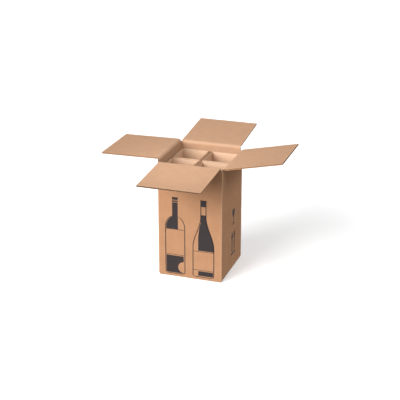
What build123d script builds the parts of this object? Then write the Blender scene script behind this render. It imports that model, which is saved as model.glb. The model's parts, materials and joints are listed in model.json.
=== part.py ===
from build123d import *
import os

# Shipping carton for four bottles, standing with its top flaps open. Millimetres, +Z up.
# The origin is the middle of the underside, and the front wall faces -Y.
# The carton is one folded and glued blank of double-wall corrugated board. Its four top flaps
# are separate nodes because they swing at their creases. Four folded sleeves stand inside it.

# Carton
CARTON_WIDTH = 224.0  # left to right, over the outsides of the walls
CARTON_DEPTH = 224.0  # front to back, over the outsides of the walls
CREASE_HEIGHT = 404.0  # underside to the mean height of the four top creases
BOARD = 5.0  # double-wall board
FOLD_RADIUS = 3.0  # outside of the upright folds and of the bottom folds
GLUE_LAP_WIDTH = 35.0  # joins the two ends of the blank, inside the back left corner
GLUE_LAP_THICKNESS = 2.0  # the lap is crushed flat where it is glued
GLUE_LAP_DROP = 2.0  # from the lowest closed top flap down to the lap's upper edge

# Flaps, top and bottom
FLAP_INSET = 6.8  # from a top flap's side edge to the carton's corner: half of the cut slot
BOTTOM_FLAP_INSET = 3.4  # the same for a bottom flap, where the slot is narrower
FLAP_SIDE_GAP = 0.3  # from a top flap's side edge to the wall beside it
FLAP_STOP_SHORT = 24.0  # from a closed top flap's free edge to the outside of the far wall
CREASE_GAP = 0.3  # from the crease line to the board on either side of it
LAYER_GAP = 0.3  # between top flaps that lie closed on each other
BOTTOM_SEAM = 1.5  # between the free edges of two bottom flaps that meet
BOTTOM_SEAM_OFFSET = 2.0  # the front and left bottom flaps reach this far past the middle
CLOSING_ORDER = ("right", "front", "back", "left")  # the first one lies lowest when closed
REST_ANGLE = {"right": 12.2, "front": -3.5, "back": 6.1, "left": -1.0}  # degrees above level

# Bottle sleeves
SLEEVE_BOARD = 4.0  # single-wall board
SLEEVE_FOLD_RADIUS = 2.0
SLEEVE_DROP = 20.0  # from the mean crease height down to the sleeves' upper edges
SLEEVE_SPACING = 6.0  # between two neighbouring sleeves
SLEEVE_CLEARANCE = 2.5  # from a sleeve to the carton wall beside it
SLEEVE_SLIT = 0.6  # between the two ends of a sleeve's blank, which meet at a corner

PAST = 1.0  # how far a cutting shape runs past the face that it cuts

# Each side's own frame: x along the wall, y inwards from the wall's outside, z up
SIDE_FRAME = {
    "front": Location((0, -CARTON_DEPTH / 2, 0), (0, 0, 0)),
    "right": Location((CARTON_WIDTH / 2, 0, 0), (0, 0, 90)),
    "back": Location((0, CARTON_DEPTH / 2, 0), (0, 0, 180)),
    "left": Location((-CARTON_WIDTH / 2, 0, 0), (0, 0, -90)),
}
SIDE_LENGTH = {
    "front": CARTON_WIDTH,
    "right": CARTON_DEPTH,
    "back": CARTON_WIDTH,
    "left": CARTON_DEPTH,
}
SIDE_SPAN = {  # outside of this wall to outside of the far wall
    "front": CARTON_DEPTH,
    "right": CARTON_WIDTH,
    "back": CARTON_DEPTH,
    "left": CARTON_WIDTH,
}
LAYER = BOARD + LAYER_GAP
CREASE = {
    side: CREASE_HEIGHT + LAYER * (place - 1.5) for place, side in enumerate(CLOSING_ORDER)
}
TOP_OF_BLANK = max(CREASE.values())
BOTTOM_LAYERS = 2 * BOARD  # the outer pair of bottom flaps, and the inner pair glued on it


def prism(points, width):
    """A section drawn in a side's y and z, carried along its x, centred on the wall."""
    section = make_face(Plane.YZ * Polyline(*points, close=True))
    return extrude(section, amount=width / 2, both=True)


def block(low, high):
    """A box given by its lowest and highest corners."""
    size = [b - a for a, b in zip(low, high)]
    return Pos(*low) * Box(*size, align=(Align.MIN, Align.MIN, Align.MIN))


def wall_ring():
    """The four walls, folded round from one strip, up to the highest crease."""
    outside = RectangleRounded(CARTON_WIDTH, CARTON_DEPTH, FOLD_RADIUS)
    inside = Rectangle(CARTON_WIDTH - 2 * BOARD, CARTON_DEPTH - 2 * BOARD)
    return extrude(outside - inside, amount=TOP_OF_BLANK)


def crease_cut(side):
    """What is above a wall's crease. The board is crushed there into a slope of 45 degrees."""
    tip = CREASE[side] - CREASE_GAP
    points = (
        (-PAST, tip + PAST),
        (BOARD + PAST, tip - BOARD - PAST),
        (BOARD + PAST, TOP_OF_BLANK + PAST),
        (-PAST, TOP_OF_BLANK + PAST),
    )
    width = SIDE_LENGTH[side] - 2 * FLAP_INSET + 2 * FLAP_SIDE_GAP
    return SIDE_FRAME[side] * prism(points, width)


def top_slot_cut(side, next_side):
    """The slot between two top flaps, cut down to the lower of their creases."""
    notch = FLAP_INSET - FLAP_SIDE_GAP
    x = CARTON_WIDTH / 2
    y = CARTON_DEPTH / 2
    low = (x - notch, y - notch, min(CREASE[side], CREASE[next_side]))
    high = (x + PAST, y + PAST, TOP_OF_BLANK + PAST)
    corner = block(low, high)
    if "left" in (side, next_side):
        corner = mirror(corner, Plane.YZ)
    if "front" in (side, next_side):
        corner = mirror(corner, Plane.XZ)
    return corner


def bottom_slot_cut(sign):
    """Takes the walls away beside the outer bottom flaps, up to the inner flaps' creases."""
    x = CARTON_WIDTH / 2
    y = CARTON_DEPTH / 2 + PAST
    xs = sorted((sign * (x - BOTTOM_FLAP_INSET), sign * (x + PAST)))
    return block((xs[0], -y, -PAST), (xs[1], y, BOARD))


def bottom_flap(side):
    """A bottom flap that meets its opposite. The left and right ones lie on the other two."""
    floor = BOARD if side in ("left", "right") else 0.0
    x = SIDE_LENGTH[side] / 2 - BOTTOM_FLAP_INSET
    past_middle = BOTTOM_SEAM_OFFSET if side in ("front", "left") else -BOTTOM_SEAM_OFFSET
    reach = SIDE_SPAN[side] / 2 - BOTTOM_SEAM / 2 + past_middle
    return SIDE_FRAME[side] * block((-x, 0, floor), (x, reach, floor + BOARD))


def glue_lap():
    """The lap that runs on from the left wall and is glued to the inside of the back wall."""
    x = -CARTON_WIDTH / 2 + BOARD
    y = CARTON_DEPTH / 2 - BOARD
    top = min(CREASE.values()) - BOARD - GLUE_LAP_DROP
    return block(
        (x, y - GLUE_LAP_THICKNESS, BOTTOM_LAYERS),
        (x + GLUE_LAP_WIDTH, y, top),
    )


def carton_body():
    """Walls, bottom flaps and glue lap: the part of the blank that is fixed once it is glued."""
    body = wall_ring()
    for sign in (-1, 1):
        body -= bottom_slot_cut(sign)
    for side in CREASE:
        body -= crease_cut(side)
        body += bottom_flap(side)
    for pair in (("front", "right"), ("right", "back"), ("back", "left"), ("left", "front")):
        body -= top_slot_cut(*pair)
    body += glue_lap()
    bottom_folds = [
        edge
        for edge in body.edges().filter_by(Axis.X)
        if abs(edge.center().Z) < 0.01 and abs(abs(edge.center().Y) - CARTON_DEPTH / 2) < 0.01
    ]
    return fillet(bottom_folds, FOLD_RADIUS)


def top_flap(side):
    """A flap on its crease, at its angle of rest. Its inner face is up while it stands open."""
    length = SIDE_SPAN[side] - FLAP_STOP_SHORT
    points = (
        (-CREASE_GAP, 0),
        (-length, 0),
        (-length, BOARD),
        (-CREASE_GAP - BOARD, BOARD),
    )
    level = prism(points, SIDE_LENGTH[side] - 2 * FLAP_INSET)
    return SIDE_FRAME[side] * Pos(0, 0, CREASE[side]) * Rot(-REST_ANGLE[side], 0, 0) * level


def bottle_sleeve(x_sign, y_sign):
    """A square tube folded from one strip. It stands on the bottom flaps and holds a bottle."""
    width = (CARTON_WIDTH / 2 - BOARD) - SLEEVE_SPACING / 2 - SLEEVE_CLEARANCE
    depth = (CARTON_DEPTH / 2 - BOARD) - SLEEVE_SPACING / 2 - SLEEVE_CLEARANCE
    height = CREASE_HEIGHT - SLEEVE_DROP - BOTTOM_LAYERS
    outside = RectangleRounded(width, depth, SLEEVE_FOLD_RADIUS)
    inside = Rectangle(width - 2 * SLEEVE_BOARD, depth - 2 * SLEEVE_BOARD)
    tube = extrude(outside - inside, amount=height)
    slit_x = width / 2 - SLEEVE_BOARD
    slit = block(
        (slit_x - SLEEVE_SLIT, depth / 2 - SLEEVE_BOARD - PAST, -PAST),
        (slit_x, depth / 2 + PAST, height + PAST),
    )
    tube -= slit
    if x_sign < 0:
        tube = mirror(tube, Plane.YZ)
    if y_sign < 0:
        tube = mirror(tube, Plane.XZ)
    x = x_sign * (width + SLEEVE_SPACING) / 2
    y = y_sign * (depth + SLEEVE_SPACING) / 2
    return Pos(x, y, BOTTOM_LAYERS) * tube


os.makedirs("parts", exist_ok=True)

export_step(carton_body(), "parts/carton_body.step")

for side in CLOSING_ORDER:
    export_step(top_flap(side), f"parts/top_flap_{side}.step")

for y_name, y_sign in (("front", -1), ("back", 1)):
    for x_name, x_sign in (("left", -1), ("right", 1)):
        export_step(bottle_sleeve(x_sign, y_sign), f"parts/bottle_sleeve_{y_name}_{x_name}.step")
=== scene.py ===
import json
import math
import bpy
import numpy as np
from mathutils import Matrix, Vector


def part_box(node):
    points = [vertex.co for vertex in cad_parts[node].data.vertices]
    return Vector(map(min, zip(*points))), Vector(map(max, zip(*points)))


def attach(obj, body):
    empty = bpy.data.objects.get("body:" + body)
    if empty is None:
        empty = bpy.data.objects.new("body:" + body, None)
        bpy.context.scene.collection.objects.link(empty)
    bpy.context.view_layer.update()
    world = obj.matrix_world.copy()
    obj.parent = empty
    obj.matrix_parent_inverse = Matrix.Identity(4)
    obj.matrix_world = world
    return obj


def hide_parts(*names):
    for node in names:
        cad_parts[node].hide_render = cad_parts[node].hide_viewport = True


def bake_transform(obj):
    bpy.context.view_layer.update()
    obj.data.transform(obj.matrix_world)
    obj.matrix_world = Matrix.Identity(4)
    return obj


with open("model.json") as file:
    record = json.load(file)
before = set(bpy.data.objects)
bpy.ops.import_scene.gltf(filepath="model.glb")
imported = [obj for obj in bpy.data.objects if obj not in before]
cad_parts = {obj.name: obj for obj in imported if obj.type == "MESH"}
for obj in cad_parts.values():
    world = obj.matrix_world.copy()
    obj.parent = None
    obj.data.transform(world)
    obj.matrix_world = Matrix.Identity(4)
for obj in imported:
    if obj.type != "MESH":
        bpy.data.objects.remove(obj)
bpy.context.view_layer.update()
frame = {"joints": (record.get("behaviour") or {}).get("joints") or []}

# ---------------------------------------------------------------------------------------------
# Carton body
# One blank of double-wall corrugated board: two fluted papers glued between three kraft liners.
# Its four walls are folded round with the flutes upright, and the ends meet at the back left
# corner on an inside lap. Underneath, four flaps are folded in and glued to each other.
# ---------------------------------------------------------------------------------------------
MM = 0.001
BOARD = 5.0 * MM
LINER = 0.35 * MM  # each flat paper with its glue line
COARSE_FLUTE = 2.6 * MM  # height of the fluting under the outer liner
FINE_FLUTE = BOARD - 3 * LINER - COARSE_FLUTE
FLUTE_PITCH = 6.5 * MM  # length of a wave of the coarse fluting
FINE_PITCH = 3.25 * MM  # the same for the fine fluting
FOLD_RADIUS = 3.0 * MM
CREASE_GAP = 0.3 * MM  # from a crease line to the crushed board on either side of it
FLAP_INSET = 6.8 * MM  # from a top flap's side edge to the carton's corner
BOTTOM_FLAP_INSET = 3.4 * MM  # the same for a bottom flap
FLAP_SIDE_GAP = 0.3 * MM  # from a top flap's side edge to the wall beside it
BOTTOM_SEAM = 1.5 * MM  # between the free edges of two bottom flaps that meet
BOTTOM_SEAM_OFFSET = 2.0 * MM  # the front and left bottom flaps reach this far past the middle
LAP_WIDTH = 35.0 * MM
LAP_THICKNESS = 2.0 * MM
LAP_DROP = 7.0 * MM  # from the lowest top crease down to the lap's upper edge

FIBRE_LENGTH = 11.0 * MM  # clumps of kraft fibres, drawn about three times as coarse as real
FIBRE_WIDTH = 1.8 * MM
CLOUD_SIZE = 34.0 * MM  # uneven formation of the sheet
SCUFF_GRAIN = 2.381 * MM  # size of the patches in a scuff
WASHBOARD = 0.25 * MM  # depth of the lines that the fluting leaves in a liner, twice the real one
HAIR = 0.01 * MM  # from a cut edge to the column of points on either side of it
LEAST_RADIUS = 0.1 * MM  # of a fold's innermost papers
WAVE_COLUMNS = 6  # columns of points to each wave of the fluting
LINER_COLUMNS = 40  # columns of a flat liner along one wall
FOLD_COLUMNS = 5  # columns inside an upright fold
FOLD_SCUFF = 0.55  # how much the upright folds are rubbed, where 1 is wholly
BESIDE_FOLD_SCUFF = 0.35
BOTTOM_FOLD_SCUFF = 0.45
SCUFF_WIDTH = 1.2 * MM  # the scuff beside a fold fades over this distance


def linear(hex_colour):
    """An sRGB hex colour as linear RGBA: up to 0.04045 a 12.92th, above it a power of 2.4."""
    parts = [int(hex_colour[i : i + 2], 16) / 255 for i in (0, 2, 4)]
    mixed = [c / 12.92 if c <= 0.04045 else ((c + 0.055) / 1.055) ** 2.4 for c in parts]
    return (*mixed, 1.0)


def add_node(tree, kind, inputs=None, **settings):
    """Adds a node, sets its fields, and fills its inputs with values or other nodes' outputs."""
    made = tree.nodes.new(kind)
    for name, value in settings.items():
        setattr(made, name, value)
    for key, value in (inputs or {}).items():
        if isinstance(value, bpy.types.NodeSocket):
            tree.links.new(value, made.inputs[key])
        else:
            made.inputs[key].default_value = value
    return made


def kraft_paper(name, pale, body, dark, scuffed, washboard):
    """
    Unbleached kraft paper, machine made and uncoated: matt, with pulp fibres lying across the
    flutes, a cloudy formation, faint lines where the fluting shows through, and a paler, fuzzy
    scuff where a fold or an edge has rubbed. The tone is a weighted sum of fibres, clouds and
    lines, and the relief is one of fibres, lines and scuff. The lines' weights are multiplied by
    washboard: 1 on a liner, and 0 where they don't show.
    """
    fibre_tone, cloud_tone, line_tone, least_tone = 0.7, 0.3, 0.035, 0.15
    dark_tone, body_tone, pale_tone = 0.36, 0.65, 0.94
    line_relief, scuff_relief = 0.5, 0.6
    material = bpy.data.materials.new(name)
    material.use_nodes = True
    tree = material.node_tree
    shader = tree.nodes["Principled BSDF"]
    place = add_node(tree, "ShaderNodeUVMap", uv_map="board").outputs["UV"]
    stretched = add_node(
        tree,
        "ShaderNodeMapping",
        {"Vector": place, "Scale": (1 / FIBRE_LENGTH, 1 / FIBRE_WIDTH, 1)},
    ).outputs["Vector"]
    fibres = add_node(
        tree,
        "ShaderNodeTexNoise",
        {"Vector": stretched, "Scale": 1.0, "Detail": 6.0, "Roughness": 0.65},
    ).outputs["Fac"]
    clouds = add_node(
        tree,
        "ShaderNodeTexNoise",
        {"Vector": place, "Scale": 1 / CLOUD_SIZE, "Detail": 3.0, "Roughness": 0.5},
    ).outputs["Fac"]
    across = add_node(tree, "ShaderNodeSeparateXYZ", {"Vector": place}).outputs["X"]
    turn = add_node(
        tree, "ShaderNodeMath", {0: across, 1: 2 * math.pi / FLUTE_PITCH}, operation="MULTIPLY"
    ).outputs[0]
    wave = add_node(tree, "ShaderNodeMath", {0: turn}, operation="SINE").outputs[0]
    mottle = add_node(
        tree,
        "ShaderNodeMath",
        {0: fibres, 1: fibre_tone, 2: least_tone},
        operation="MULTIPLY_ADD",
    ).outputs[0]
    mottle = add_node(
        tree,
        "ShaderNodeMath",
        {0: clouds, 1: cloud_tone, 2: mottle},
        operation="MULTIPLY_ADD",
    ).outputs[0]
    tone = add_node(
        tree,
        "ShaderNodeMath",
        {0: wave, 1: line_tone * washboard, 2: mottle},
        operation="MULTIPLY_ADD",
    ).outputs[0]
    colour = add_node(tree, "ShaderNodeValToRGB", {"Fac": tone})
    ramp = colour.color_ramp
    ramp.elements[0].position = dark_tone
    ramp.elements[0].color = linear(dark)
    ramp.elements[1].position = pale_tone
    ramp.elements[1].color = linear(pale)
    ramp.elements.new(body_tone).color = linear(body)
    rubbed = add_node(tree, "ShaderNodeAttribute", attribute_name="rubbed").outputs["Fac"]
    fuzz = add_node(
        tree,
        "ShaderNodeTexNoise",
        {"Vector": place, "Scale": 1 / SCUFF_GRAIN, "Detail": 5.0, "Roughness": 0.7},
    ).outputs["Fac"]
    patchy = add_node(
        tree, "ShaderNodeMapRange", {"Value": fuzz, "From Min": 0.35, "From Max": 0.65}
    ).outputs["Result"]
    scuff = add_node(
        tree, "ShaderNodeMath", {0: rubbed, 1: patchy}, operation="MULTIPLY"
    ).outputs[0]
    paper = add_node(
        tree,
        "ShaderNodeMix",
        {"Factor": scuff, "A": colour.outputs["Color"], "B": linear(scuffed)},
        data_type="RGBA",
    )
    tree.links.new(paper.outputs["Result"], shader.inputs["Base Color"])
    relief = add_node(
        tree,
        "ShaderNodeMath",
        {0: wave, 1: line_relief * washboard, 2: fibres},
        operation="MULTIPLY_ADD",
    ).outputs[0]
    relief = add_node(
        tree,
        "ShaderNodeMath",
        {0: scuff, 1: scuff_relief, 2: relief},
        operation="MULTIPLY_ADD",
    ).outputs[0]
    bump = add_node(
        tree, "ShaderNodeBump", {"Height": relief, "Strength": 0.45, "Distance": WASHBOARD}
    ).outputs["Normal"]
    tree.links.new(bump, shader.inputs["Normal"])
    shader.inputs["Roughness"].default_value = 0.88
    shader.inputs["IOR"].default_value = 1.45
    shader.inputs["Specular IOR Level"].default_value = 0.22
    return material


# The outer liner is a warm brown kraft and the inner one a greyer brown. The fluting is of darker
# pulp with recycled fibre in it, and the lines of washboard don't show on it.
outer_liner = kraft_paper("kraft_outer_liner", "bd906b", "b18463", "a37450", "d0ae90", 1.0)
inner_liner = kraft_paper("kraft_inner_liner", "ba9577", "ae896d", "a27c60", "ccb098", 1.0)
fluting = kraft_paper("fluting_paper", "a97f5d", "9b7150", "8a603f", "b8916e", 0.0)
BOARD_FINISHES = (outer_liner, inner_liner, fluting)
OUTER, INNER, FLUTED = 0, 1, 2  # their places in BOARD_FINISHES
ONLY_FINISH = 0  # the same where a piece has a single material


def double_wall():
    """
    The board's papers from its outer face: depth of the middle, height of the wave to either
    side of it, wave length, half of the paper's thickness, and finish.
    """
    coarse = LINER + COARSE_FLUTE / 2
    between = LINER * 1.5 + COARSE_FLUTE
    fine = BOARD - LINER - FINE_FLUTE / 2
    return (
        (LINER / 2, 0.0, FLUTE_PITCH, LINER / 2, OUTER),
        (coarse, COARSE_FLUTE / 2 - LINER / 4, FLUTE_PITCH, LINER / 4, FLUTED),
        (between, 0.0, FLUTE_PITCH, LINER / 2, FLUTED),
        (fine, FINE_FLUTE / 2 - LINER / 4, FINE_PITCH, LINER / 4, FLUTED),
        (BOARD - LINER / 2, 0.0, FLUTE_PITCH, LINER / 2, INNER),
    )


def sheet_faces(n, m):
    """Faces of a closed sheet: an upper grid, a lower grid turned over, and four rims."""

    def low(a, b):
        return a * m + b

    def high(a, b):
        return n * m + a * m + b

    p, q = np.arange(n - 1), np.arange(m - 1)
    i, j = (part.ravel() for part in np.meshgrid(p, q, indexing="ij"))
    return np.concatenate([
        np.stack([high(i, j), high(i + 1, j), high(i + 1, j + 1), high(i, j + 1)], 1),
        np.stack([low(i, j), low(i, j + 1), low(i + 1, j + 1), low(i + 1, j)], 1),
        np.stack([low(p, 0), low(p + 1, 0), high(p + 1, 0), high(p, 0)], 1),
        np.stack([low(p + 1, m - 1), low(p, m - 1), high(p, m - 1), high(p + 1, m - 1)], 1),
        np.stack([low(0, q + 1), low(0, q), high(0, q), high(0, q + 1)], 1),
        np.stack([low(n - 1, q), low(n - 1, q + 1), high(n - 1, q + 1), high(n - 1, q)], 1),
    ])


def make_piece(name, sheets, materials):
    """
    One mesh from closed sheets. Each sheet is (lower grid, upper grid, board grid, rubbed grid,
    finish). The board grid holds metres across the flutes and along them, which the papers'
    patterns follow, and the rubbed grid is 1 where the paper is scuffed.
    """
    points, faces, finishes, board, rubbed = [], [], [], [], []
    count = 0
    for low, high, place, scuff, finish in sheets:
        n, m = low.shape[:2]
        quads = sheet_faces(n, m)
        points += [low.reshape(-1, 3), high.reshape(-1, 3)]
        board += [place.reshape(-1, 2)] * 2
        rubbed += [np.broadcast_to(scuff, (n, m)).reshape(-1)] * 2
        faces.append(quads + count)
        finishes.append(np.full(len(quads), finish))
        count += 2 * n * m
    faces = np.concatenate(faces)
    mesh = bpy.data.meshes.new(name)
    mesh.from_pydata(np.concatenate(points).tolist(), [], faces.tolist())
    layer = mesh.uv_layers.new(name="board")
    layer.data.foreach_set("uv", np.concatenate(board)[faces.ravel()].astype(np.float32).ravel())
    scuffs = mesh.attributes.new("rubbed", "FLOAT", "POINT")
    scuffs.data.foreach_set("value", np.concatenate(rubbed).astype(np.float32))
    mesh.polygons.foreach_set("material_index", np.concatenate(finishes).astype(np.int32))
    for material in materials:
        mesh.materials.append(material)
    mesh.update()
    piece = bpy.data.objects.new(name, mesh)
    bpy.context.scene.collection.objects.link(piece)
    return piece


carton_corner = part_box("carton_body")[1]
HALF_WIDTH, HALF_DEPTH = carton_corner.x, carton_corner.y
SIDES = ("left", "front", "right", "back")  # the order of the walls from the blank's first end
hinge_of_body = {joint["child"]: joint for joint in frame["joints"]}
flap_hinges = {side: hinge_of_body[f"flap_{side}"] for side in SIDES}
CREASE = {side: hinge["pos_m"][2] for side, hinge in flap_hinges.items()}
SIDE_LENGTH = {
    "left": 2 * HALF_DEPTH,
    "front": 2 * HALF_WIDTH,
    "right": 2 * HALF_DEPTH,
    "back": 2 * HALF_WIDTH,
}
FACING = {"left": math.pi, "front": -math.pi / 2, "right": 0.0, "back": math.pi / 2}
TOP_SLOT = FLAP_INSET - FLAP_SIDE_GAP  # from the carton's corner to the slot's edge in a wall


def by_side(table):
    """The four sides' values as an array, in the order of the walls."""
    return np.array([table[side] for side in SIDES])


def ring_columns(pitch):
    """
    Columns round the four walls: the side's number, how far along its straight run, and how far
    its end fold has turned. Two columns stand close together at each edge of a slot.
    """
    side_numbers, shares, turns = [], [], []
    for number, side in enumerate(SIDES):
        run = SIDE_LENGTH[side] - 2 * FOLD_RADIUS
        steps = int(run / pitch) * WAVE_COLUMNS if pitch else LINER_COLUMNS
        share = np.linspace(0, 1, steps + 1)
        notches = np.array([TOP_SLOT, BOTTOM_FLAP_INSET]) - FOLD_RADIUS
        edges = np.concatenate([notches - HAIR, notches + HAIR]) / run
        share = np.sort(np.concatenate([share, edges, 1 - edges]))
        bend = np.linspace(0, math.pi / 2, FOLD_COLUMNS + 2)[1:-1]
        side_numbers += [number] * (len(share) + len(bend))
        shares += list(share) + [1.0] * len(bend)
        turns += [0.0] * len(share) + list(bend)
    return np.array(side_numbers), np.array(shares), np.array(turns)


def ring_points(number, share, turned, depth):
    """
    Plan points of a paper at that depth inside the walls' outer faces: straight runs between
    folds that are quarter circles, each as much smaller as the paper lies deeper. The top
    slots' edges are square to the wall, so every paper has them at the same place along it.
    """
    facing = by_side(FACING)[number]
    outward = np.stack([np.cos(facing), np.sin(facing)], 1)
    onward = np.stack([-np.sin(facing), np.cos(facing)], 1)
    radius = np.maximum(FOLD_RADIUS - depth, LEAST_RADIUS)
    length = by_side(SIDE_LENGTH)[number]
    to_wall = np.where(number % 2 == 0, HALF_WIDTH, HALF_DEPTH) - depth
    run = length - 2 * depth - 2 * radius
    cut = length / 2 - TOP_SLOT
    notch = (length / 2 - FOLD_RADIUS - cut) / (length - 2 * FOLD_RADIUS)
    from_end = np.minimum(share, 1 - share)
    beside_cut = cut + (run / 2 - cut) * (1 - from_end / notch)
    between_cuts = cut * (0.5 - from_end) / (0.5 - notch)
    along = np.sign(share - 0.5) * np.where(from_end < notch, beside_cut, between_cuts)
    straight = outward * to_wall[:, None] + onward * along[:, None]
    centre = outward * (to_wall - radius)[:, None] + onward * (run / 2)[:, None]
    swing = outward * np.cos(turned)[:, None] + onward * np.sin(turned)[:, None]
    bent = centre + swing * radius[:, None]
    return np.where((turned > 0)[:, None], bent, straight)


def in_slot(number, share, turned, slot):
    """Whether a column lies in a slot that reaches that far from the carton's corner."""
    notch = (slot - FOLD_RADIUS) / (by_side(SIDE_LENGTH)[number] - 2 * FOLD_RADIUS)
    return (share < notch) | (share > 1 - notch) | (turned > 0)


def wall_top(number, share, turned, depth):
    """Height of a paper's upper edge: 45 degrees at a crease, level in the slots between flaps."""
    crease = by_side(CREASE)
    lower_next = np.minimum(crease, np.roll(crease, -1))[number]
    lower_before = np.minimum(crease, np.roll(crease, 1))[number]
    post = np.where((share < 0.5) & (turned == 0), lower_before, lower_next)
    slope = crease[number] - CREASE_GAP - depth
    return np.where(in_slot(number, share, turned, TOP_SLOT), post, slope)


def wall_bottom(number, share, turned):
    """Height of a wall's lower edge, where its bottom flap's fold begins."""
    fold = np.where(number % 2 == 0, BOARD + FOLD_RADIUS, FOLD_RADIUS)
    return np.where(in_slot(number, share, turned, BOTTOM_FLAP_INSET), BOARD, fold)


def wall_sheets():
    """The papers of the four walls, as rings with a fine seam at the back left corner."""
    lengths = by_side(SIDE_LENGTH)
    starts = np.concatenate([[0], np.cumsum(lengths)])
    sheets = []
    for middle, wave, pitch, half, finish in double_wall():
        number, share, turned = ring_columns(pitch if wave else 0)
        run = lengths[number] - 2 * FOLD_RADIUS
        across = starts[number] + share * run + turned * FOLD_RADIUS
        ripple = np.where(turned > 0, 0, wave * np.sin(2 * math.pi * across / pitch))
        rows = np.linspace(0, 1, 4 if wave else 20)
        bottom = wall_bottom(number, share, turned)
        grids, heights = [], []
        for depth in (middle + ripple + half, middle + ripple - half):
            plan = ring_points(number, share, turned, depth)
            top = wall_top(number, share, turned, depth)
            z = bottom[:, None] + rows[None, :] * (top - bottom)[:, None]
            grid = np.concatenate([np.repeat(plan[:, None, :], len(rows), 1), z[..., None]], 2)
            grids.append(grid)
            heights.append(z)
        place = np.stack([np.repeat(across[:, None], len(rows), 1), heights[1]], -1)
        near_fold = np.minimum(share, 1 - share) * run
        beside = BESIDE_FOLD_SCUFF * np.exp(-near_fold / SCUFF_WIDTH)
        rubbed = np.where(turned > 0, FOLD_SCUFF, beside)
        sheets.append((grids[0], grids[1], place, rubbed[:, None], finish))
    return sheets


def bottom_flap_sheets(side):
    """
    The papers of a bottom flap: from the wall's lower edge round a quarter circle and along the
    underside to the seam. The left and right flaps lie on the front and back ones.
    """
    facing = FACING[side]
    outward = np.array([math.cos(facing), math.sin(facing), 0])
    onward = np.array([-math.sin(facing), math.cos(facing), 0])
    wall = HALF_WIDTH if side in ("left", "right") else HALF_DEPTH
    floor = BOARD if side in ("left", "right") else 0.0
    past_middle = BOTTOM_SEAM_OFFSET if side in ("front", "left") else -BOTTOM_SEAM_OFFSET
    seam = past_middle - BOTTOM_SEAM / 2  # how far past the carton's middle the free edge lies
    width = SIDE_LENGTH[side] - 2 * BOTTOM_FLAP_INSET
    sheets = []
    for middle, wave, pitch, half, finish in double_wall():
        columns = int(width / pitch) * WAVE_COLUMNS + 1 if wave else 30
        across = np.linspace(-width / 2, width / 2, columns)
        ripple = wave * np.sin(2 * math.pi * (across + SIDE_LENGTH[side] / 2) / pitch)
        turn = np.linspace(0, math.pi / 2, 6)
        flat_rows = np.linspace(0, 1, 3 if wave else 12)[1:]
        grids = []
        for depth in (middle + ripple + half, middle + ripple - half):
            radius = np.maximum(FOLD_RADIUS - depth, LEAST_RADIUS)[:, None]
            start = wall - depth[:, None]
            bend_out = start - radius * (1 - np.cos(turn))[None, :]
            bend_up = floor + depth[:, None] + radius * (1 - np.sin(turn))[None, :]
            flat_out = bend_out[:, -1:] + flat_rows[None, :] * (-seam - bend_out[:, -1:])
            flat_up = np.repeat(bend_up[:, -1:], len(flat_rows), 1)
            out = np.concatenate([bend_out, flat_out], 1)
            up = np.concatenate([bend_up, flat_up], 1)
            grid = out[..., None] * outward + across[:, None, None] * onward
            grid[..., 2] += up
            grids.append(grid[:, ::-1])
        travel = np.concatenate([turn * FOLD_RADIUS, turn[-1] * FOLD_RADIUS + flat_rows * wall])
        place = np.stack(np.broadcast_arrays(across[:, None], travel[None, ::-1]), -1)
        rubbed = np.where(np.arange(len(travel)) < len(turn), BOTTOM_FOLD_SCUFF, 0.0)
        sheets.append((grids[0], grids[1], place, rubbed[None, ::-1], finish))
    return sheets


def lap_sheet():
    """The glue lap: the crushed end of the left wall, a slab flat on the back wall's inside."""
    x = np.linspace(-HALF_WIDTH + BOARD, -HALF_WIDTH + BOARD + LAP_WIDTH, 12)
    z = np.linspace(2 * BOARD, min(CREASE.values()) - LAP_DROP, 24)
    grids = []
    for y in (HALF_DEPTH - BOARD, HALF_DEPTH - BOARD - LAP_THICKNESS):
        grids.append(np.stack(np.broadcast_arrays(x[:, None], y, z[None, :]), -1).astype(float))
    place = np.stack(np.broadcast_arrays(x[:, None], z[None, :]), -1)
    return grids[0], grids[1], place, 0.0, INNER


body_sheets = wall_sheets() + [lap_sheet()]
for side in SIDES:
    body_sheets += bottom_flap_sheets(side)
carton = make_piece("carton_board", body_sheets, BOARD_FINISHES)
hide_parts("carton_body")
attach(carton, "carton")

# ---------------------------------------------------------------------------------------------
# Top flaps
# Four full-length flaps of the same blank. The flutes run away from the crease, so the free edge
# shows the open waves, and each side edge is cut along a flute and looks closed.
# ---------------------------------------------------------------------------------------------
FLAP_STOP_SHORT = 24.0 * MM  # from a closed flap's free edge to the outside of the far wall
SIDE_CUT = 0.25 * MM  # thickness of the fluting that closes a side edge
FLAP_WAVE_COLUMNS = 8  # columns of points to each wave, which the free edge shows
EDGE_SCUFF, EDGE_SCUFF_WIDTH = 0.5, 1.5 * MM
CREASE_SCUFF, CREASE_SCUFF_WIDTH = 0.25, 2.5 * MM
SIDE_CUT_SCUFF = 0.2


def flap_axes(side):
    """Where the flap's crease is, and its directions: along the crease, away from it, and up."""
    hinge = flap_hinges[side]
    along = np.array(hinge["axis"], float)
    level = np.cross((0, 0, 1), along)
    rest = math.pi - math.radians(hinge["range_deg"][1])  # the upper limit is the flap closed
    out = math.cos(rest) * level + math.sin(rest) * np.array([0, 0, 1])
    return np.array(hinge["pos_m"]), along, level, out, np.cross(along, out)


def flap_grid(side, s, reach, height):
    """Points of a flap from distances along its crease, away from it, and up off its outer face."""
    origin, along, level, out, up = flap_axes(side)
    s, reach, height = np.broadcast_arrays(s, reach, height)
    return origin + s[..., None] * along + reach[..., None] * out + height[..., None] * up


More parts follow.
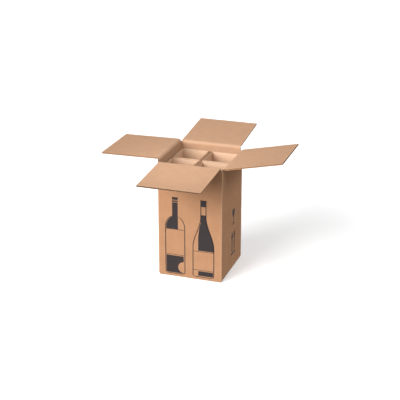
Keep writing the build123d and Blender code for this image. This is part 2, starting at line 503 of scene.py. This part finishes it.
def flap_sheets(side, width, length):
    """
    Papers of one flap. A paper's height is its middle plus a sine wave across the flap, and it
    starts at 45 degrees from the crease, so a higher paper starts further out.
    """
    sheets = []
    for middle, wave, pitch, half, finish in double_wall():
        columns = int(width / pitch) * FLAP_WAVE_COLUMNS + 1 if wave else 45
        s = np.linspace(-width / 2, width / 2, columns)[:, None]
        t = np.linspace(0, 1, 5 if wave else 30)[None, :]
        centre = middle + wave * np.sin(2 * math.pi * s / pitch)
        grids = []
        for height in (centre - half, centre + half):
            start = CREASE_GAP + height
            reach = start + t * (length - start)
            grids.append(flap_grid(side, s, reach, height))
        edge = np.minimum(width / 2 - np.abs(s), (1 - t) * length)
        rubbed = EDGE_SCUFF * np.exp(-edge / EDGE_SCUFF_WIDTH)
        rubbed = rubbed + CREASE_SCUFF * np.exp(-t * length / CREASE_SCUFF_WIDTH)
        place = np.stack(np.broadcast_arrays(s, t * length), -1)
        sheets.append((grids[0], grids[1], place, rubbed, finish))
    for edge in (-width / 2, width / 2 - SIDE_CUT):
        s = np.array([edge, edge + SIDE_CUT])[:, None]
        t = np.linspace(0, 1, 12)[None, :]
        grids = []
        for height in (LINER, BOARD - LINER):
            start = CREASE_GAP + height
            grids.append(flap_grid(side, s, start + t * (length - start), height))
        place = np.stack(np.broadcast_arrays(s, t * length), -1)
        sheets.append((grids[0], grids[1], place, SIDE_CUT_SCUFF, FLUTED))
    return sheets


for side in SIDES:
    across_carton = 2 * (HALF_WIDTH if side in ("left", "right") else HALF_DEPTH)
    flap = make_piece(
        f"flap_{side}_board",
        flap_sheets(side, SIDE_LENGTH[side] - 2 * FLAP_INSET, across_carton - FLAP_STOP_SHORT),
        BOARD_FINISHES,
    )
    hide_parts(f"top_flap_{side}")
    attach(flap, f"flap_{side}")

# ---------------------------------------------------------------------------------------------
# Creases
# The board is crushed along each crease by a scoring wheel, so that a flap can swing. The outer
# liner is the hinge, and the inner liner is stretched over the crushed flutes in a round bend.
# ---------------------------------------------------------------------------------------------
WEB = 0.14 * MM  # what is left of the crushed papers on the two slopes
WEB_SEAT = 0.11 * MM  # from the crease's own plane to the middle of the web
WEB_SETTLE = 1.5 * MM  # from the crease line to where the web lies in its seat
WEB_MARGIN = 0.1 * MM  # from the web's edge to the board's inner face, along the slope
WEB_BEND = 0.6 * MM  # a distance on either side of the crease line, given for the web
STRETCHED_BEND = 8.2 * MM  # the same for the stretched inner liner
STRETCHED_LENGTH = 3 * BOARD  # of the stretched liner round its bend, for the fibres' pattern
STRETCHED_SCUFF = 0.3
ROUNDNESS = 0.5523  # length of a Bezier handle that draws a quarter circle of radius 1


def web_sheet(origin, along, slopes, faces, s):
    """
    The crushed papers: a thin V of two straight slopes, the wall's from u = -1 to the crease line
    at 0 and the flap's from there to 1. It sinks evenly from the crease line to its seat.
    """
    reach = BOARD * math.sqrt(2) - WEB_MARGIN
    u = np.linspace(-1, 1, 41)
    on_flap = (u > 0)[:, None]
    distance = np.abs(u)[:, None] * reach
    settled = np.minimum(1, distance / WEB_SETTLE)
    grids = []
    for offset in (-WEB / 2, WEB / 2):
        line = distance * np.where(on_flap, slopes[1], slopes[0])
        line = line + (offset - WEB_SEAT * settled) * np.where(on_flap, faces[1], faces[0])
        grids.append(origin + s[:, None, None] * along + line[None, :, :])
    place = np.stack(np.broadcast_arrays(s[:, None], u[None, :] * reach), -1)
    return grids[0], grids[1], place, 0.0, ONLY_FINISH


def stretched_liner(origin, along, wall_edge, flap_edge, rise, out, s):
    """
    The inner liner from the wall's inner face to the flap's: a cubic Bezier curve that leaves
    the wall upwards and reaches the flap along it, moved inwards by the liner's thickness.
    """
    handle = ROUNDNESS * np.linalg.norm(flap_edge - wall_edge) / math.sqrt(2)
    t = np.linspace(0, 1, 25)[:, None]
    corners = (wall_edge, wall_edge + handle * rise, flap_edge - handle * out, flap_edge)
    weights = ((1 - t) ** 3, 3 * t * (1 - t) ** 2, 3 * t**2 * (1 - t), t**3)
    curve = sum(weight * corner for weight, corner in zip(weights, corners))
    heading = np.gradient(curve, axis=0)
    heading /= np.linalg.norm(heading, axis=1)[:, None]
    inwards = np.cross(along, heading)
    grids = []
    for depth in (LINER, 0.0):
        line = curve - depth * inwards
        grids.append(origin + s[:, None, None] * along + line[None, :, :])
    place = np.stack(np.broadcast_arrays(s[:, None], t[None, :, 0] * STRETCHED_LENGTH), -1)
    rubbed = STRETCHED_SCUFF * np.sin(math.pi * t[:, 0])
    return grids[0], grids[1], place, rubbed[None, :], ONLY_FINISH


for side in SIDES:
    origin, along, level, out, up = flap_axes(side)
    width = SIDE_LENGTH[side] - 2 * FLAP_INSET
    s = np.linspace(-width / 2, width / 2, 60)
    rise = np.array([0.0, 0.0, 1.0])
    slopes = ((-level - rise) / math.sqrt(2), (out + up) / math.sqrt(2))
    faces = ((-level + rise) / math.sqrt(2), (up - out) / math.sqrt(2))
    wall_edge = -BOARD * level - (CREASE_GAP + BOARD) * rise
    flap_edge = BOARD * up + (CREASE_GAP + BOARD) * out
    for name, sheet, bend in (
        (f"crease_{side}", web_sheet(origin, along, slopes, faces, s), WEB_BEND),
        (
            f"crease_{side}_inner_liner",
            stretched_liner(origin, along, wall_edge, flap_edge, rise, out, s),
            STRETCHED_BEND,
        ),
    ):
        piece = make_piece(name, [sheet], (inner_liner,))
        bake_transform(piece)

# ---------------------------------------------------------------------------------------------
# Bottle sleeves
# Four square tubes, each folded from one strip of single-wall board with the flutes upright. They
# stand loose on the bottom flaps, and their upper edges show the waves between the two liners.
# ---------------------------------------------------------------------------------------------
SLEEVE_BOARD = 4.0 * MM
SLEEVE_WAVES = 52
SLEEVE_WAVE_COLUMNS = 8
SLEEVE_LINER_COLUMNS = 200
SLEEVE_FOLD = 4.4 * MM  # radius outside a fold
SLEEVE_SLIT = 0.6 * MM  # between the strip's two ends, which meet at a corner
SLEEVE_EDGE_SCUFF = 0.6

# A paler, cleaner kraft than the carton's, which makes the inside look light
sleeve_liner = kraft_paper("kraft_sleeve_liner", "d2b094", "c9a588", "bc977b", "dcc3ab", 1.0)
SLEEVE_FINISHES = (sleeve_liner, fluting)
SLEEVE_LINER, SLEEVE_FLUTED = 0, 1


def sleeve_path(width, depth, inset, count):
    """
    Points round a rectangle with quarter-circle folds, spaced evenly by arc length from one
    corner and moved inwards by the inset. Returns the points and the arc lengths.
    """
    x, y = width / 2 - SLEEVE_FOLD, depth / 2 - SLEEVE_FOLD
    centres = np.array([(x, -y), (x, y), (-x, y), (-x, -y)])
    runs = np.array([2 * y, 2 * x, 2 * y, 2 * x])
    ends = np.cumsum(runs + math.pi / 2 * SLEEVE_FOLD)
    s = np.linspace(SLEEVE_SLIT / 2, ends[-1] - SLEEVE_SLIT / 2, count)
    part = np.minimum(np.searchsorted(ends, s), 3)
    begun = np.concatenate([[0], ends])[part]
    along_run = np.clip(s - begun, 0, runs[part])
    turned = np.clip((s - begun - runs[part]) / SLEEVE_FOLD, 0, math.pi / 2)
    facing = part * math.pi / 2
    square_on = np.stack([np.cos(facing), np.sin(facing)], 1)
    outward = np.stack([np.cos(facing + turned), np.sin(facing + turned)], 1)
    onward = np.stack([-np.sin(facing), np.cos(facing)], 1)
    straight = centres[part] + along_run[:, None] * onward + SLEEVE_FOLD * square_on
    bent = centres[(part + 1) % 4] + SLEEVE_FOLD * outward
    points = np.where((turned > 0)[:, None], bent, straight)
    return points - np.asarray(inset)[:, None] * outward, s


def sleeve_sheets(low, high):
    """Outer liner, wave and inner liner of one sleeve that fills the box between two corners."""
    centre = (low + high) / 2
    sheets = []
    for middle, wave, half, finish in (
        (LINER / 2, 0.0, LINER / 2, SLEEVE_LINER),
        (SLEEVE_BOARD / 2, SLEEVE_BOARD / 2 - LINER, LINER / 3, SLEEVE_FLUTED),
        (SLEEVE_BOARD - LINER / 2, 0.0, LINER / 2, SLEEVE_LINER),
    ):
        columns = SLEEVE_WAVES * SLEEVE_WAVE_COLUMNS if wave else SLEEVE_LINER_COLUMNS
        z = np.linspace(low[2], high[2], 4 if wave else 20)
        turns = np.linspace(0, 2 * math.pi * SLEEVE_WAVES, columns)
        grids = []
        for offset in (half, -half):
            inset = middle + wave * np.sin(turns) + offset
            plan, s = sleeve_path(high[0] - low[0], high[1] - low[1], inset, columns)
            plan = plan + centre[:2]
            x, y, up = np.broadcast_arrays(plan[:, :1], plan[:, 1:], z[None, :])
            grids.append(np.stack([x, y, up], -1))
        place = np.stack(np.broadcast_arrays(s[:, None], z[None, :]), -1)
        rubbed = SLEEVE_EDGE_SCUFF * np.exp(-(high[2] - z) / SCUFF_WIDTH)
        sheets.append((grids[0], grids[1], place, rubbed[None, :], finish))
    return sheets


for y_name in ("front", "back"):
    for x_name in ("left", "right"):
        node_name = f"bottle_sleeve_{y_name}_{x_name}"
        low, high = (np.array(corner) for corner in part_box(node_name))
        sleeve = make_piece(
            f"sleeve_{y_name}_{x_name}_board", sleeve_sheets(low, high), SLEEVE_FINISHES
        )
        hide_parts(node_name)
        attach(sleeve, "carton")

# ---------------------------------------------------------------------------------------------
# Print
# One dark water-based ink, printed flat by rubber plates on the outer liner before the blank is
# folded: two plain wine bottles on the front, and the usual handling signs on the right side.
# ---------------------------------------------------------------------------------------------
INK_PROUD = 0.03 * MM  # from the outer liner to the ink's inner face, so that neither hides it
INK_THICK = 0.05 * MM
INK_SPECK = 1.3333 * MM  # size of the pale specks, drawn about five times as coarse as real
OUTLINE = 2.9 * MM
OUTLINE_LOW = 11  # height at which the outlines begin, in millimetres
BASE_LINE = OUTLINE * 0.8
BASE_LINE_LOW = 10
THIN_LINE = 1.6 * MM  # above and below a label
BARE_RIM = 4 * MM  # from a bottle's side to the ink inside its outline
FOOT = 10 * MM  # height of the bottles' feet above the carton's underside
TOP = 288 * MM
HEEL = 9 * MM  # radius at a bottle's foot
LIP_HEIGHT = 4 * MM
LIP = 0.9 * MM  # how far the lip stands out from the neck
CAPSULE_HALF = 10.3 * MM
SLOPE = 1.6  # of the claret's shoulder: 2 would be an ellipse, and 1 a straight line
CLARET_PLACE, BURGUNDY_PLACE = -52.0 * MM, 47.5 * MM  # the bottles' middles, from the wall's
SIGNS_PLACE = 15 * MM  # behind the middle of the right wall


def flexo_ink():
    """
    Water-based ink that soaks into the liner: matt, near black with a brown cast, and mottled
    with fine pale specks where the fibres took less of it.
    """
    material = bpy.data.materials.new("flexo_ink_dark_brown")
    material.use_nodes = True
    tree = material.node_tree
    shader = tree.nodes["Principled BSDF"]
    place = add_node(tree, "ShaderNodeUVMap", uv_map="board").outputs["UV"]
    specks = add_node(
        tree,
        "ShaderNodeTexNoise",
        {"Vector": place, "Scale": 1 / INK_SPECK, "Detail": 4.0, "Roughness": 0.7},
    ).outputs["Fac"]
    colour = add_node(tree, "ShaderNodeValToRGB", {"Fac": specks})
    colour.color_ramp.elements[0].position = 0.35
    colour.color_ramp.elements[0].color = linear("1e1a1d")
    colour.color_ramp.elements[1].position = 0.85
    colour.color_ramp.elements[1].color = linear("453937")
    tree.links.new(colour.outputs["Color"], shader.inputs["Base Color"])
    shader.inputs["Roughness"].default_value = 0.75
    shader.inputs["Specular IOR Level"].default_value = 0.3
    return material


ink = flexo_ink()


def heights(low, high):
    """Heights in metres, about a millimetre apart, between two heights in millimetres."""
    return np.linspace(low, high, max(2, int(high - low) + 1)) * MM


def print_field(wall, z, left, right):
    """A field of ink between two lines that are given by height: left(z) and right(z)."""
    across = np.stack([np.broadcast_to(left, z.shape), np.broadcast_to(right, z.shape)])
    z = np.broadcast_to(z, across.shape)
    grids = []
    for proud in (INK_PROUD, INK_PROUD + INK_THICK):
        if wall == "front":
            grid = (across, np.full(z.shape, -HALF_DEPTH - proud), z)
        else:
            grid = (np.full(z.shape, HALF_WIDTH + proud), across, z)
        grids.append(np.stack(grid, -1))
    return grids[0], grids[1], np.stack([across, z], -1), 0.0, ONLY_FINISH


def heel_cut(z):
    """How far a bottle's side curves in above its foot: a quarter circle of the heel's radius."""
    into = np.clip(HEEL - (z - FOOT), 0, HEEL)
    return HEEL - np.sqrt(HEEL**2 - into**2)


def claret_half(z):
    """Half-width of a claret bottle: straight side, round sloping shoulder, straight neck, lip."""
    body, neck, shoulder, rise = 35.5 * MM, 9.8 * MM, 184 * MM, 36 * MM
    up = np.clip((z - shoulder) / rise, 0, 1)
    lip = np.where(z > TOP - LIP_HEIGHT, LIP, 0)
    return neck + (body - neck) * (1 - up**SLOPE) ** (1 / SLOPE) + lip - heel_cut(z)


def burgundy_half(z):
    """Half-width of a burgundy bottle: a smooth cubic step from body to neck, and a lip."""
    body, neck, shoulder, rise = 38.0 * MM, 10.3 * MM, 118 * MM, 112 * MM
    up = np.clip((z - shoulder) / rise, 0, 1)
    lip = np.where(z > TOP - LIP_HEIGHT, LIP, 0)
    return body - (body - neck) * up**2 * (3 - 2 * up) + lip - heel_cut(z)


def outlines(centre, half, low, high):
    """Two lines of ink that follow a bottle's left and right side between two heights."""
    z = heights(low, high)
    edge = half(z)
    return [
        print_field("front", z, centre - edge, centre - edge + OUTLINE),
        print_field("front", z, centre + edge - OUTLINE, centre + edge),
    ]


def level_line(centre, left, right, low, thickness):
    """A straight line across a bottle, from left to right of its centre, in millimetres."""
    z = np.array([low * MM, low * MM + thickness])
    return print_field("front", z, centre + left * MM, centre + right * MM)


def claret_print(centre):
    """A claret bottle: dark neck with bare rings, half-dark shoulder, bare label, dark foot."""
    neck_foot = 219  # heights and level lines are in millimetres
    neck_and_rings = ((neck_foot, 269), (271, 276), (278, 288))
    shoulder_ink = (174, neck_foot)
    foot_ink = (14, 77)
    label_lines, label_half, base_half = (172, 80), 32, 27
    gleam_middle, gleam_radius = 36 * MM, 20 * MM  # a bare half circle at the right of the foot
    foot_half = 30 * MM
    fields = []
    for low, high in neck_and_rings:
        z = heights(low, high)
        fields.append(print_field("front", z, centre - claret_half(z), centre + claret_half(z)))
    z = heights(*shoulder_ink)
    left = centre - claret_half(z) + BARE_RIM
    fields.append(print_field("front", z, left, centre + CAPSULE_HALF))
    z = heights(*foot_ink)
    left = centre - claret_half(z) + BARE_RIM
    gleam = gleam_radius * np.sqrt(np.clip(1 - ((z - gleam_middle) / gleam_radius) ** 2, 0, 1))
    right = np.minimum(claret_half(z) - BARE_RIM - 0.5 * MM, foot_half)
    fields.append(print_field("front", z, left, centre + right - gleam))
    fields += outlines(centre, claret_half, OUTLINE_LOW, neck_foot)
    fields.append(level_line(centre, -base_half, base_half, BASE_LINE_LOW, BASE_LINE))
    for low in label_lines:
        fields.append(level_line(centre, -label_half, label_half, low, THIN_LINE))
    return fields


def burgundy_print(centre):
    """
    A burgundy bottle: dark capsule, bare band, bare label, dark foot, and a dark shade whose left
    side moves out by a smooth cubic step as the bottle widens.
    """
    capsule_ink = (265, 288)  # heights and level lines are in millimetres
    outline_high = 266
    shade_ink = (107, 236)
    foot_ink = (15, 32)
    label_lines, label_left, label_right, base_half = (103, 35), -35, 36, 29.5
    rim_start, rim_fade = 228 * MM, 20 * MM  # below here the shade keeps off the outline
    shade_start, shade_rise, shade_growth = 236 * MM, 90 * MM, 8 * MM
    foot_left = 18 * MM
    z = heights(*capsule_ink)
    fields = [print_field("front", z, centre - burgundy_half(z), centre + burgundy_half(z))]
    z = heights(*shade_ink)
    side = burgundy_half(z) - BARE_RIM * np.clip((rim_start - z) / rim_fade, 0, 1)
    widening = np.clip((shade_start - z) / shade_rise, 0, 1)
    shade = np.minimum(side, CAPSULE_HALF + shade_growth * widening**2 * (3 - 2 * widening))
    fields.append(print_field("front", z, centre - shade, centre + burgundy_half(z) - OUTLINE / 2))
    z = heights(*foot_ink)
    right = centre + burgundy_half(z) - BARE_RIM
    fields.append(print_field("front", z, centre - foot_left, right))
    fields += outlines(centre, burgundy_half, OUTLINE_LOW, outline_high)
    fields.append(level_line(centre, -base_half, base_half, BASE_LINE_LOW, BASE_LINE))
    for low in label_lines:
        fields.append(level_line(centre, label_left, label_right, low, THIN_LINE))
    return fields


for name, fields in (
    ("print_claret_bottle", claret_print(CLARET_PLACE)),
    ("print_burgundy_bottle", burgundy_print(BURGUNDY_PLACE)),
):
    figure = make_piece(name, fields, (ink,))
    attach(figure, "carton")

GLASS_FOOT, GLASS_STEM, GLASS_BOWL, GLASS_RIM = 164, 168, 190, 219  # heights, in millimetres
STEP = 0.01  # half of the height over which the glass changes its width at its stem's ends


def glass_half(z):
    """Half-width of the glass of the fragile sign: a level foot, a thin stem, a round bowl."""
    foot, stem, bowl, bowl_middle, bowl_rise = 13.0, 2.2, 12.5, 208, 18
    up = z / MM
    round_bowl = bowl * np.sqrt(np.clip(1 - ((up - bowl_middle) / bowl_rise) ** 2, 0.02, 1))
    return np.where(up < GLASS_STEM, foot, np.where(up < GLASS_BOWL, stem, round_bowl)) * MM


def handling_signs(centre):
    """Fragile: a stemmed glass. This way up: two arrows that stand on a line."""
    line, line_half = (55, 61), 24 * MM
    arrow_foot, arrow_neck, arrow_tip = 67, 116, 141
    arrow_place, shaft_half, head_half, tip_half = 12.5 * MM, 4 * MM, 10.5 * MM, 0.1 * MM
    steps = [heights(height - STEP, height + STEP) for height in (GLASS_STEM, GLASS_BOWL)]
    z = np.sort(np.concatenate([heights(GLASS_FOOT, GLASS_RIM), *steps]))
    fields = [print_field("right", z, centre - glass_half(z), centre + glass_half(z))]
    for side in (-1, 1):
        middle = centre + side * arrow_place
        z = heights(arrow_foot, arrow_neck)
        fields.append(print_field("right", z, middle - shaft_half, middle + shaft_half))
        z = heights(arrow_neck, arrow_tip)
        half = head_half * (arrow_tip * MM - z) / ((arrow_tip - arrow_neck) * MM) + tip_half
        fields.append(print_field("right", z, middle - half, middle + half))
    fields.append(print_field("right", heights(*line), centre - line_half, centre + line_half))
    return fields


signs = make_piece("print_handling_signs", handling_signs(SIGNS_PLACE), (ink,))
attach(signs, "carton")

# ---------------------------------------------------------------------------------------------
# Studio
# A pale floor that glows a little, like a light table, so that shadows on it stay light. A broad
# key light from the left in front, a fill light from the right, softboxes above, an even sky.
# ---------------------------------------------------------------------------------------------
FLOOR_HALF = 14.0
FLOOR_GLOW = 0.35
SKY_STRENGTH = 0.34
WHITE = (1.0, 1.0, 1.0, 1.0)
floor_mesh = bpy.data.meshes.new("floor")
floor_mesh.from_pydata(
    [
        (-FLOOR_HALF, -FLOOR_HALF, 0),
        (FLOOR_HALF, -FLOOR_HALF, 0),
        (FLOOR_HALF, FLOOR_HALF, 0),
        (-FLOOR_HALF, FLOOR_HALF, 0),
    ],
    [],
    [(0, 1, 2, 3)],
)
floor = bpy.data.objects.new("floor", floor_mesh)
bpy.context.scene.collection.objects.link(floor)
paint = bpy.data.materials.new("white_floor_paint")
paint.use_nodes = True
paint_shader = paint.node_tree.nodes["Principled BSDF"]
paint_shader.inputs["Base Color"].default_value = linear("f2f2f2")
paint_shader.inputs["Roughness"].default_value = 0.95
paint_shader.inputs["Specular IOR Level"].default_value = 0.0
paint_shader.inputs["Emission Color"].default_value = WHITE
paint_shader.inputs["Emission Strength"].default_value = FLOOR_GLOW
floor.visible_diffuse = False  # so that it doesn't light the flaps from below
floor_mesh.materials.append(paint)

scene = bpy.context.scene
scene.view_settings.view_transform = "Standard"
world = bpy.data.worlds.new("sky")
scene.world = world
world.use_nodes = True
world.node_tree.nodes["Background"].inputs["Color"].default_value = WHITE
world.node_tree.nodes["Background"].inputs["Strength"].default_value = SKY_STRENGTH


def direction(azimuth, elevation):
    """The unit vector towards a place: azimuth in degrees from the front to the right."""
    a, e = math.radians(azimuth), math.radians(elevation)
    return np.array([math.sin(a) * math.cos(e), -math.cos(a) * math.cos(e), math.sin(e)])


def add_light(name, kind, towards, energy, distance=2.0, **settings):
    """A light on the side that the direction gives, shining back at the carton's top."""
    data = bpy.data.lights.new(name, kind)
    data.energy = energy
    for key, value in settings.items():
        setattr(data, key, value)
    light = bpy.data.objects.new(name, data)
    light.location = np.array([0, 0, CREASE["front"]]) + distance * towards
    light.rotation_euler = Vector(towards).to_track_quat("Z", "Y").to_euler()
    scene.collection.objects.link(light)


add_light("key", "SUN", direction(-30, 25), energy=4.45, angle=math.radians(40))
add_light("side_fill", "SUN", direction(82, 32), energy=0.95, angle=math.radians(20))
add_light("front_softbox", "AREA", direction(-8, 55), energy=0.6, distance=0.35, size=0.25)
add_light("top_softbox", "AREA", direction(0, 88), energy=0.4, distance=0.9, size=0.3)

CAMERA_BACK = direction(18.82, 21.46)
CAMERA_TARGET = np.array([-2.56, 0, 242.3]) * MM
CAMERA_DISTANCE = 3.487
camera_data = bpy.data.cameras.new("camera")
camera_data.sensor_width = 36
camera_data.lens = 92.64
camera_data.clip_end = 60
camera = bpy.data.objects.new("camera", camera_data)
scene.collection.objects.link(camera)
camera.location = CAMERA_TARGET + CAMERA_DISTANCE * CAMERA_BACK
camera.rotation_euler = Vector(CAMERA_BACK).to_track_quat("Z", "Y").to_euler()
scene.camera = camera
